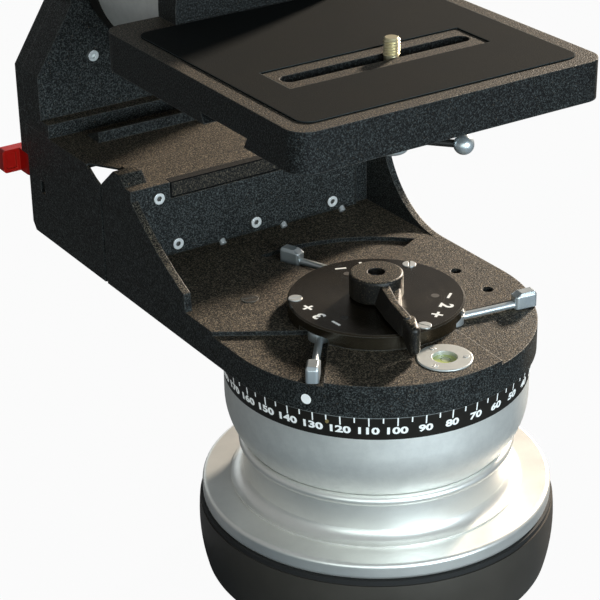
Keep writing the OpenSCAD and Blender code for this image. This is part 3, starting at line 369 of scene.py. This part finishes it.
def scale_black():
    """Black anodised scale ring, with a pale painted highlight along its top edge."""
    f = Finish("scale_black")
    cloud = f.noise(9 * MM, 3.0)
    grain = f.noise(0.6 * MM, 2.0)
    level = f.node("ShaderNodeSeparateXYZ", {}, {0: f.place()}, output="Z")
    # Painted highlight: a pale band just under the ring's top edge.
    painted_top_edge = level.step(SCALE_HIGH.z - 0.5 * MM, SCALE_HIGH.z - 0.3 * MM)
    painted_top_edge = painted_top_edge * level.step(SCALE_HIGH.z + 2 * MM, SCALE_HIGH.z + 1 * MM)
    base = f.mix(cloud, (0.009, 0.008, 0.007, 1), (0.021, 0.018, 0.014, 1))
    base = f.mix(painted_top_edge * 0.8, base, (0.40, 0.42, 0.41, 1))
    normal = f.bump(grain, 0.03 * MM, 0.5, f.rounded(0.3 * MM))
    rough = 0.40 + grain * 0.16
    return f.shader(Base_Color=base, Roughness=rough, Normal=normal, Specular_IOR_Level=0.2)


def socket_steel():
    """Bright cap screws of the wall, with painted shade down in their sockets."""
    f = Finish("socket_steel")
    cloud = f.noise(3 * MM, 3.0)
    depth = f.node("ShaderNodeSeparateXYZ", {}, {0: f.place()}, output="Y")
    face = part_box("wall_screws")[0].y
    base = f.mix(cloud, (0.86, 0.85, 0.83, 1), (0.96, 0.95, 0.93, 1))
    # Painted shade: deeper than the head's face the steel is painted dark.
    base = f.mix(depth.step(face + 0.5 * MM, face + 1.4 * MM), base, (0.09, 0.085, 0.08, 1))
    return f.shader(Base_Color=base, Metallic=0.5, Roughness=0.28 + cloud * 0.12, Normal=f.rounded(0.5 * MM))


def dull_steel():
    """Dull dark steel of the dials' pins."""
    f = Finish("dull_steel")
    cloud = f.noise(1.5 * MM, 3.0)
    base = f.mix(cloud, (0.06, 0.057, 0.052, 1), (0.12, 0.11, 0.10, 1))
    return f.shader(Base_Color=base, Metallic=0.4, Roughness=0.42 + cloud * 0.15)


def screw_steel():
    """Bright zinc-plated screws."""
    f = Finish("steel")
    cloud = f.noise(3 * MM, 3.0)
    scratch = f.noise(0.4 * MM, 2.0, stretch=(1, 1, 6))
    base = f.mix(cloud, (0.60, 0.62, 0.62, 1), (0.80, 0.81, 0.80, 1))
    normal = f.bump(scratch, 0.03 * MM, 0.4, f.rounded(0.35 * MM))
    return f.shader(Base_Color=base, Metallic=0.65, Roughness=0.30 + scratch * 0.16, Normal=normal)


def thread_zinc():
    """Yellow zinc plating of the camera screw."""
    f = Finish("thread_zinc")
    cloud = f.noise(2.5 * MM, 3.0)
    base = f.mix(cloud, (0.60, 0.50, 0.30, 1), (0.74, 0.68, 0.46, 1))
    return f.shader(Base_Color=base, Metallic=0.7, Roughness=0.26 + cloud * 0.16)


def lever_chrome():
    """Satin chrome of the levers and the handle's ball."""
    f = Finish("chrome")
    cloud = f.noise(7 * MM, 3.0)
    grain = f.noise(0.35 * MM, 2.0)
    base = f.mix(cloud, (0.58, 0.63, 0.65, 1), (0.72, 0.76, 0.77, 1))
    normal = f.bump(grain, 0.02 * MM, 0.35, f.rounded(0.8 * MM))
    return f.shader(Base_Color=base, Metallic=0.75, Roughness=0.24 + cloud * 0.14, Normal=normal)


def pin_brass():
    """Brass pin of the scale."""
    f = Finish("brass")
    cloud = f.noise(1.2 * MM, 3.0)
    base = f.mix(cloud, (0.52, 0.36, 0.13, 1), (0.72, 0.53, 0.22, 1))
    return f.shader(Base_Color=base, Metallic=0.8, Roughness=0.30 + cloud * 0.2, Normal=f.rounded(0.3 * MM))


def gasket_rubber():
    """Black rubber ring between foot and flange."""
    f = Finish("gasket_rubber")
    grain = f.noise(0.8 * MM, 3.0)
    base = f.mix(grain, (0.006, 0.006, 0.006, 1), (0.016, 0.015, 0.014, 1))
    return f.shader(Base_Color=base, Roughness=0.60 + grain * 0.25, Normal=f.bump(grain, 0.08 * MM, 0.5))


def mat_rubber():
    """Grey rubber and cork mat of the platform, finely speckled and patchy, with a bluish painted highlight
    along its edges.
    """
    f = Finish("mat_rubber")
    rounded = f.rounded(0.9 * MM)
    edge = f.edge(rounded)
    speck = f.noise(0.9 * MM, 3.0, rough=0.7)
    cloud = f.noise(30 * MM, 4.0)
    base = f.mix(speck, (0.003, 0.004, 0.004, 1), (0.012, 0.014, 0.014, 1))
    base = f.mix(cloud.step(0.35, 0.75) * 0.4, base, (0.011, 0.011, 0.009, 1))
    base = f.mix(speck.step(0.64, 0.74), base, (0.070, 0.050, 0.032, 1))
    # Painted highlight: the edges are painted pale and bluish.
    base = f.mix(edge * 0.8, base, (0.10, 0.12, 0.125, 1))
    normal = f.bump(speck, 0.20 * MM, 0.6, rounded)
    return f.shader(Base_Color=base, Roughness=0.70 + speck * 0.2, Normal=normal, Specular_IOR_Level=0.05)


def red_plastic():
    """Moulded red lever, with a painted highlight along its edges."""
    f = Finish("red_plastic")
    cloud = f.noise(8 * MM, 3.0)
    grain = f.noise(0.5 * MM, 2.0)
    rounded = f.rounded(0.8 * MM)
    base = f.mix(cloud, (0.42, 0.004, 0.001, 1), (0.50, 0.006, 0.002, 1))
    # Painted highlight: the edges are painted a lighter red.
    base = f.mix(f.edge(rounded) * 0.5, base, (0.66, 0.05, 0.02, 1))
    normal = f.bump(grain, 0.03 * MM, 0.5, rounded)
    return f.shader(Base_Color=base, Roughness=0.32 + grain * 0.15, Normal=normal, Specular_IOR_Level=0.25)


AIR_R = 2.6 * MM
AIR_ASIDE = Vector((1.2 * MM, 0.8 * MM, 0))


def vial_fluid():
    """Yellow-green fluid of the level, with its round air bubble and a faint painted glow."""
    f = Finish("vial_fluid")
    low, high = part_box("bubble_vial")
    middle = (low + high) / 2 + AIR_ASIDE
    flat = f.vector("MULTIPLY", f.vector("SUBTRACT", f.place(), middle), (1, 1, 0))
    away = f.vector("LENGTH", flat, output="Value")
    air = away.step(AIR_R, AIR_R - 0.3 * MM)
    rim = away.step(AIR_R - 0.4 * MM, AIR_R - 0.15 * MM) * away.step(AIR_R + 0.4 * MM, AIR_R)
    cloud = f.noise(5 * MM, 2.0)
    base = f.mix(cloud, (0.44, 0.54, 0.13, 1), (0.56, 0.66, 0.22, 1))
    base = f.mix(air * 0.7, base, (0.74, 0.80, 0.54, 1))
    base = f.mix(rim * 0.8, base, (0.14, 0.19, 0.05, 1))
    rough = 0.06 + cloud * 0.04
    # Painted light: the fluid glows a little, though it is no lamp.
    return f.shader(
        Base_Color=base, Roughness=rough, Coat_Weight=1.0, Emission_Color=base, Emission_Strength=0.12
    )


def white_print():
    """White filled engraving, with a faint painted glow."""
    f = Finish("white_print")
    grain = f.noise(0.7 * MM, 3.0)
    base = f.mix(grain, (0.70, 0.71, 0.69, 1), (0.86, 0.87, 0.85, 1))
    normal = f.bump(grain, 0.03 * MM, 0.4)
    rough = 0.5 + grain * 0.2
    # Painted light: the print glows a little, so it stays white in shade.
    return f.shader(
        Base_Color=base, Roughness=rough, Normal=normal, Emission_Color=base, Emission_Strength=0.28
    )


# Each finish with the nodes that wear it
FINISHES = (
    (satin_aluminium("satin_aluminium", *PAN_AXIS, 0.72, 0.40, 0.5), "pan_bowl"),
    (satin_aluminium("turned_aluminium", *PAN_AXIS, 0.80, 0.31, 0.2), "base_flange neck_ring"),
    (satin_aluminium("tilt_aluminium", *TILT_AXIS, 0.72, 0.40, 0.5), "tilt_drum"),
    (ring_aluminium(), "bubble_ring"),
    (foot_grey(), "base_foot"),
    (crinkle_paint("black_crinkle", 0.14), "pan_bracket qc_block tilt_upright tilt_cover"),
    (gib_paint(), "wall_gib"),
    (lever_paint(), "pan_lock_lever tilt_lock_lever"),
    # The platform wears the same crinkle with darker crests.
    (crinkle_paint("platform_crinkle", 0.09), "platform"),
    (turned_black("pan_dial_black", *PAN_AXIS), "pan_dial"),
    (turned_black("tilt_dial_black", *TILT_AXIS), "tilt_dial"),
    (plain_black(), "handle_rod"),
    (plug_black(), "plate_plug"),
    (scale_black(), "scale_ring tilt_scale_ring"),
    (socket_steel(), "wall_screws"),
    (
        screw_steel(),
        "wall_pins pan_dial_screws pan_lever_pins pan_lock_stud bubble_screws"
        " qc_lever_pin cover_screws tilt_dial_screws tilt_lever_pins tilt_lock_stud platform_screws"
        " pan_spindle tilt_spindle pan_bearing_lower pan_bearing_upper tilt_bearing_front tilt_bearing_rear"
        " pan_cover pan_drag_plates pan_drag_rotor tilt_drag_plates tilt_drag_rotor"
        " screw_carriage camera_screw",
    ),
    (
        lever_chrome(),
        "pan_lever_1 pan_lever_2 pan_lever_3 tilt_lever_1 tilt_lever_2 tilt_lever_3"
        " handle_hub handle_ball",
    ),
    (pin_brass(), "scale_pin"),
    (gasket_rubber(), "base_gasket"),
    (mat_rubber(), "platform_mat"),
    (red_plastic(), "qc_lever"),
    (vial_fluid(), "bubble_vial"),
)


def dress_nodes():
    """Every carried-over part gets its finish in all of its material slots."""
    for material, names in FINISHES:
        for name in names.split():
            data = nodes[name].data
            if not data.materials:
                data.materials.append(material)
            for index in range(len(data.materials)):
                data.materials[index] = material


# Printed marks
PRINT_THICK = 0.10 * MM
SCALE_PROUD = 0.12 * MM
PRINT = white_print()
PIN_STEEL = dull_steel()
WELD = 1e-7


def piece_from(name, shape, material, body):
    """Turns a bmesh into a finished piece that rides on a body."""
    bmesh.ops.remove_doubles(shape, verts=shape.verts, dist=WELD)
    bmesh.ops.recalc_face_normals(shape, faces=shape.faces)
    data = bpy.data.meshes.new(name)
    shape.to_mesh(data)
    shape.free()
    data.materials.append(material)
    made = bpy.data.objects.new(name, data)
    bpy.context.scene.collection.objects.link(made)
    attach(made, body)
    return made


def add_glyphs(shape, text, size, weight, place):
    """Adds text to a bmesh as thin solids of that width and height.

    place maps a point of the flat text to its spot on the part. A width of None keeps the letters' own.
    """
    curve = bpy.data.curves.new("glyphs", "FONT")
    curve.body = text
    curve.size = size[1]
    curve.offset = weight
    curve.resolution_u = 3
    curve.extrude = PRINT_THICK / 2
    typed = bpy.data.objects.new("glyphs", curve)
    bpy.context.scene.collection.objects.link(typed)
    bpy.context.view_layer.update()
    flat = bpy.data.meshes.new_from_object(typed.evaluated_get(bpy.context.evaluated_depsgraph_get()))
    bpy.data.objects.remove(typed)
    bpy.data.curves.remove(curve)
    low = Vector(min(v.co[axis] for v in flat.vertices) for axis in range(2))
    high = Vector(max(v.co[axis] for v in flat.vertices) for axis in range(2))
    grow = size[1] / (high.y - low.y)
    widen = size[0] / (high.x - low.x) if size[0] else grow
    middle = (low + high) / 2
    for vertex in flat.vertices:
        point = vertex.co
        vertex.co = place(Vector(((point.x - middle.x) * widen, (point.y - middle.y) * grow, point.z)))
    shape.from_mesh(flat)
    bpy.data.meshes.remove(flat)


def add_bar(shape, size, place):
    """Adds a thin rectangular mark."""
    for vertex in bmesh.ops.create_cube(shape, size=1.0)["verts"]:
        unit = vertex.co
        vertex.co = place(Vector((unit.x * size[0], unit.y * size[1], unit.z * PRINT_THICK)))


DOT_SIDES = 24


def add_dot(shape, radius, place):
    """Adds a thin round mark."""
    made = bmesh.ops.create_cone(
        shape, cap_ends=True, segments=DOT_SIDES, radius1=radius, radius2=radius, depth=PRINT_THICK
    )["verts"]
    for vertex in made:
        vertex.co = place(vertex.co.copy())


SCALE_TOP_R = SCALE_HIGH.x
SCALE_FOOT_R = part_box("pan_bowl")[1].x
SCALE_RIM_H = 1.0 * MM


def on_scale(angle, level):
    """Place on the scale ring: x runs to the right as seen from outside, y up, z out of the ring."""

    def place(point):
        height = level + point.y
        share = min(1.0, (height - SCALE_LOW.z) / (SCALE_HIGH.z - SCALE_RIM_H - SCALE_LOW.z))
        radius = SCALE_FOOT_R + (SCALE_TOP_R - SCALE_FOOT_R) * share + SCALE_PROUD + point.z
        turn = angle + point.x / radius
        return Vector((radius * math.cos(turn), radius * math.sin(turn), height))

    return place


SCALE_ZERO = math.radians(342.396)
TICK_STEP = 5
NUMBER_STEP = 10
TICK_W = 0.75 * MM
TICK_LONG = 5.4 * MM
TICK_SHORT = 3.4 * MM
NUMBER_H = 4.7 * MM
NUMBER_DROP = 8.35 * MM
NUMBER_WEIGHT = 0.19 * MM
NUMBER_WIDTHS = {1: 3.9 * MM, 2: 8.2 * MM, 3: 11.6 * MM}


def add_scale(shape, degrees, place, line, numbers):
    """Adds ticks hanging from the line, long ones with a number below; place takes degree and level."""
    for degree in degrees:
        length = TICK_SHORT if degree % NUMBER_STEP else TICK_LONG
        add_bar(shape, (TICK_W, length), place(degree, line - length / 2))
        if degree % NUMBER_STEP == 0:
            text = str(abs(degree))
            size = (NUMBER_WIDTHS[len(text)], NUMBER_H)
            add_glyphs(shape, text, size, NUMBER_WEIGHT, place(degree, numbers))


def pan_scale_marks():
    """Degree marks round the pan scale."""
    shape = bmesh.new()

    def place(degree, level):
        return on_scale(SCALE_ZERO - math.radians(degree), level)

    add_scale(shape, range(0, 360, TICK_STEP), place, SCALE_HIGH.z, SCALE_HIGH.z - NUMBER_DROP)
    return piece_from("pan_scale_marks", shape, PRINT, "base")


def tilt_scale_marks():
    """Degree marks round the tilt scale, counted from level to both sides."""
    low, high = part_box("tilt_scale_ring")
    radius = (high.x - low.x) / 2
    shape = bmesh.new()

    def place(degree, level):
        def spot(point):
            turn = math.radians(90 - degree) - point.x / radius
            out = radius + point.z
            return Vector((out * math.cos(turn), level + point.y, TILT_HEIGHT + out * math.sin(turn)))

        return spot

    add_scale(shape, range(-90, 90 + TICK_STEP, TICK_STEP), place, high.y, high.y - NUMBER_DROP)
    return piece_from("tilt_scale_marks", shape, PRINT, "tilt")


def on_pan_dial(angle, radius):
    """Place on the pan dial's top: y points outwards, and x to the right as seen from the axis."""
    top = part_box("pan_dial")[1].z
    return lambda p: Vector((
        (radius + p.y) * math.cos(angle) + p.x * math.sin(angle),
        (radius + p.y) * math.sin(angle) - p.x * math.cos(angle),
        top + p.z,
    ))


def on_tilt_dial(angle, radius):
    """The same place on the tilt dial, which looks along +Y."""
    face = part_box("tilt_dial")[1].y

    def place(point):
        flat = on_pan_dial(angle, radius)(point)
        return Vector((flat.x, face + point.z, TILT_HEIGHT - flat.y))

    return place


DIAL_MARK_R = 41.5 * MM
DIAL_PIN_R = 33.4 * MM
DIAL_PIN_SIZE = 2.4 * MM
DIGIT_SIZE = (None, 8.0 * MM)
DIGIT_WEIGHT = 0.30 * MM
STROKE = 1.5 * MM
SIGN_SIZE = 6.6 * MM
# Each lever's number and the angle where it stands on the dial, in degrees
LEVER_MARKS = (("1", 67), ("2", 307), ("3", 184.5))
MINUS_AHEAD = 18
PLUS_BEHIND = 17.3


def beside_lever(on_dial, middle, offset):
    """Place of a mark whose spot is offset degrees from the middle one and which stands as that one does."""
    turn = math.radians(offset)
    shift = Vector((-DIAL_MARK_R * math.sin(turn), DIAL_MARK_R * (math.cos(turn) - 1), 0))
    spot = on_dial(math.radians(middle), DIAL_MARK_R)
    return lambda point: spot(point + shift)


def dial_marks(name, on_dial):
    """A minus, the lever's number and a plus beside each lever."""
    shape = bmesh.new()
    for number, middle in LEVER_MARKS:
        minus = beside_lever(on_dial, middle, MINUS_AHEAD)
        plus = beside_lever(on_dial, middle, -PLUS_BEHIND)
        add_bar(shape, (SIGN_SIZE, STROKE), minus)
        add_glyphs(shape, number, DIGIT_SIZE, DIGIT_WEIGHT, beside_lever(on_dial, middle, 0))
        add_bar(shape, (SIGN_SIZE, STROKE), plus)
        add_bar(shape, (STROKE, SIGN_SIZE), plus)
    return piece_from(name, shape, PRINT, "pan")


def dial_pins(name, on_dial):
    """Dull steel pins, flush with the dial, one inside each minus."""
    shape = bmesh.new()
    for _, middle in LEVER_MARKS:
        add_dot(shape, DIAL_PIN_SIZE, on_dial(math.radians(middle + MINUS_AHEAD), DIAL_PIN_R))
    return piece_from(name, shape, PIN_STEEL, "pan")


INDEX_ANGLE = math.radians(-149.3)
INDEX_LEVEL = 148.1 * MM
INDEX_R = 3.0 * MM


def index_dot():
    """White index dot on the bracket's rim, above the scale."""
    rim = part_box("pan_bracket")[1].x
    shape = bmesh.new()

    def place(point):
        turn = INDEX_ANGLE + point.x / rim
        radius = rim + point.z
        return Vector((radius * math.cos(turn), radius * math.sin(turn), INDEX_LEVEL + point.y))

    add_dot(shape, INDEX_R, place)
    return piece_from("index_dot", shape, PRINT, "pan")


THREAD_PITCH = 25.4 / 16 * MM
THREAD_DEPTH = 0.95 * MM
THREAD_AROUND = 40
THREAD_PER_TURN = 8
THREAD_ABOVE_SEAT = 1.5 * MM
THREAD_RUN_OUT = 0.4 * MM
THREAD_TIP = 1.2 * MM
SHANK_RELIEF = 0.6 * MM
THREAD_SEAM = 1e-6


def camera_thread():
    """The camera screw with its thread: a grid rolled up, its points raised along a helix."""
    low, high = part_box("camera_screw")
    radius = (high.x - low.x) / 2
    shank = radius - SHANK_RELIEF
    middle = (low + high) / 2
    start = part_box("platform_mat")[0].z + THREAD_ABOVE_SEAT
    rows = round((high.z - start) / THREAD_PITCH * THREAD_PER_TURN)
    levels = [low.z, start - THREAD_RUN_OUT]
    levels += [start + (high.z - start) * row / rows for row in range(rows + 1)]
    shape = bmesh.new()
    bmesh.ops.create_grid(shape, x_segments=THREAD_AROUND, y_segments=len(levels) - 1, size=1.0)
    for vertex in shape.verts:
        turn = (vertex.co.x + 1) * math.pi
        level = levels[round((vertex.co.y + 1) / 2 * (len(levels) - 1))]
        away = shank
        if level >= start:
            phase = (level / THREAD_PITCH - turn / math.tau) % 1.0
            away = radius - THREAD_DEPTH * abs(2 * phase - 1)
            away = min(away, radius - THREAD_TIP + (high.z - level))
        vertex.co = (middle.x + away * math.cos(turn), middle.y + away * math.sin(turn), level)
    bmesh.ops.remove_doubles(shape, verts=shape.verts, dist=THREAD_SEAM)
    bmesh.ops.holes_fill(shape, edges=[edge for edge in shape.edges if edge.is_boundary])
    made = piece_from("camera_thread", shape, thread_zinc(), "screw")
    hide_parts("camera_screw")
    return made


# Studio
KEY_DIRECTION = Vector((0.852, 0.397, 0.342))
KEY_STRENGTH = 7.0
KEY_COLOUR = (1.0, 0.87, 0.72)
KEY_SOFTNESS = math.radians(7)
FILL_DIRECTION = Vector((0.0, -1.0, 0.12))
FILL_POWER = 60
FILL_COLOUR = (0.76, 0.91, 1.0)
SIDE_DIRECTION = Vector((-0.7, -0.7, 0.1))
SIDE_POWER = 12
SIDE_COLOUR = (0.85, 1.0, 1.0)
BACK_DIRECTION = Vector((0.20, 1.0, 0.05))
BACK_POWER = 6
BACK_COLOUR = (0.85, 0.95, 1.0)
AMBIENT = 0.01
AMBIENT_COLOUR = (0.95, 0.97, 1.0, 1)
MIRRORED = 0.27
FLOOR_R = 6.0
FLOOR_SIDES = 64
FLOOR_PAPER = (0.12, 0.14, 0.17, 1)
FLOOR_GLOW_SHARE = 0.96
STUDIO_MIDDLE = Vector((0, 0.08, 0.17))
KEY_AWAY = 2.0
SOFT_LAMP_AWAY = 2.2
SOFT_LAMP_WIDE = 1.6


def add_lamp(name, kind, direction, place, **settings):
    """A lamp that shines from that direction and isn't seen itself."""
    lamp = bpy.data.lights.new(name, kind)
    for setting, value in settings.items():
        setattr(lamp, setting, value)
    made = bpy.data.objects.new(name, lamp)
    made.matrix_world = (
        Matrix.Translation(place)
        @ direction.to_track_quat("Z", "Y").to_matrix().to_4x4()
    )
    made.visible_camera = False
    bpy.context.scene.collection.objects.link(made)


class Surroundings(Finish):
    """The world's nodes, made with the same methods as a finish."""

    def __init__(self, name):
        world = bpy.data.worlds.new(name)
        world.use_nodes = True
        self.tree = world.node_tree
        self.tree.nodes.clear()
        bpy.context.scene.world = world

    def light(self, strength, colour=(1, 1, 1, 1)):
        return self.node("ShaderNodeBackground", {}, {"Color": colour, "Strength": strength})

    def close(self, surface):
        output = self.tree.nodes.new("ShaderNodeOutputWorld")
        self.tree.links.new(surface.socket, output.inputs["Surface"])


def add_world():
    """White behind the part, dimmer in reflections, and dim as a light."""
    w = Surroundings("studio")
    seen = w.node("ShaderNodeLightPath", output="Is Camera Ray")
    through = w.node("ShaderNodeLightPath", output="Is Transmission Ray")
    mirrored = w.node("ShaderNodeLightPath", output="Is Glossy Ray")
    soft = w.light(AMBIENT, AMBIENT_COLOUR)
    soft = w.node("ShaderNodeMixShader", {}, {0: mirrored, 1: soft, 2: w.light(MIRRORED)})
    white = seen.math("MAXIMUM", seen, through)
    w.close(w.node("ShaderNodeMixShader", {}, {0: white, 1: soft, 2: w.light(1.0)}))


def add_floor():
    """Pale floor that stays white for the camera but for a faint shadow."""
    f = Finish("pale_floor")
    seen = f.node("ShaderNodeLightPath", output="Is Camera Ray")
    paper = f.node("ShaderNodeBsdfDiffuse", {}, {"Color": FLOOR_PAPER})
    glow = f.node("ShaderNodeEmission", {}, {"Color": (1, 1, 1, 1), "Strength": 1.0})
    f.close(f.node("ShaderNodeMixShader", {}, {0: seen * FLOOR_GLOW_SHARE, 1: paper, 2: glow}))
    shape = bmesh.new()
    bmesh.ops.create_circle(shape, cap_ends=True, segments=FLOOR_SIDES, radius=FLOOR_R)
    data = bpy.data.meshes.new("floor")
    shape.to_mesh(data)
    shape.free()
    data.materials.append(f.material)
    floor = bpy.data.objects.new("floor", data)
    bpy.context.scene.collection.objects.link(floor)


def add_studio():
    """A soft, slightly warm key, and large soft lamps in front, at the side and behind."""
    key_place = STUDIO_MIDDLE + KEY_DIRECTION * KEY_AWAY
    add_lamp(
        "key", "SUN", KEY_DIRECTION, key_place, energy=KEY_STRENGTH, color=KEY_COLOUR, angle=KEY_SOFTNESS
    )
    for name, direction, power, colour in (
        ("fill", FILL_DIRECTION, FILL_POWER, FILL_COLOUR),
        ("side", SIDE_DIRECTION, SIDE_POWER, SIDE_COLOUR),
        ("back", BACK_DIRECTION, BACK_POWER, BACK_COLOUR),
    ):
        place = STUDIO_MIDDLE + direction.normalized() * SOFT_LAMP_AWAY
        add_lamp(
            name, "AREA", direction, place, energy=power, color=colour, shape="DISK", size=SOFT_LAMP_WIDE
        )
    add_world()
    add_floor()


add_camera()
add_studio()
dress_nodes()
pan_scale_marks()
tilt_scale_marks()
dial_marks("pan_dial_marks", on_pan_dial)
dial_marks("tilt_dial_marks", on_tilt_dial)
dial_pins("pan_dial_pins", on_pan_dial)
dial_pins("tilt_dial_pins", on_tilt_dial)
index_dot()
camera_thread()

bpy.context.scene.view_settings.view_transform = "Standard"
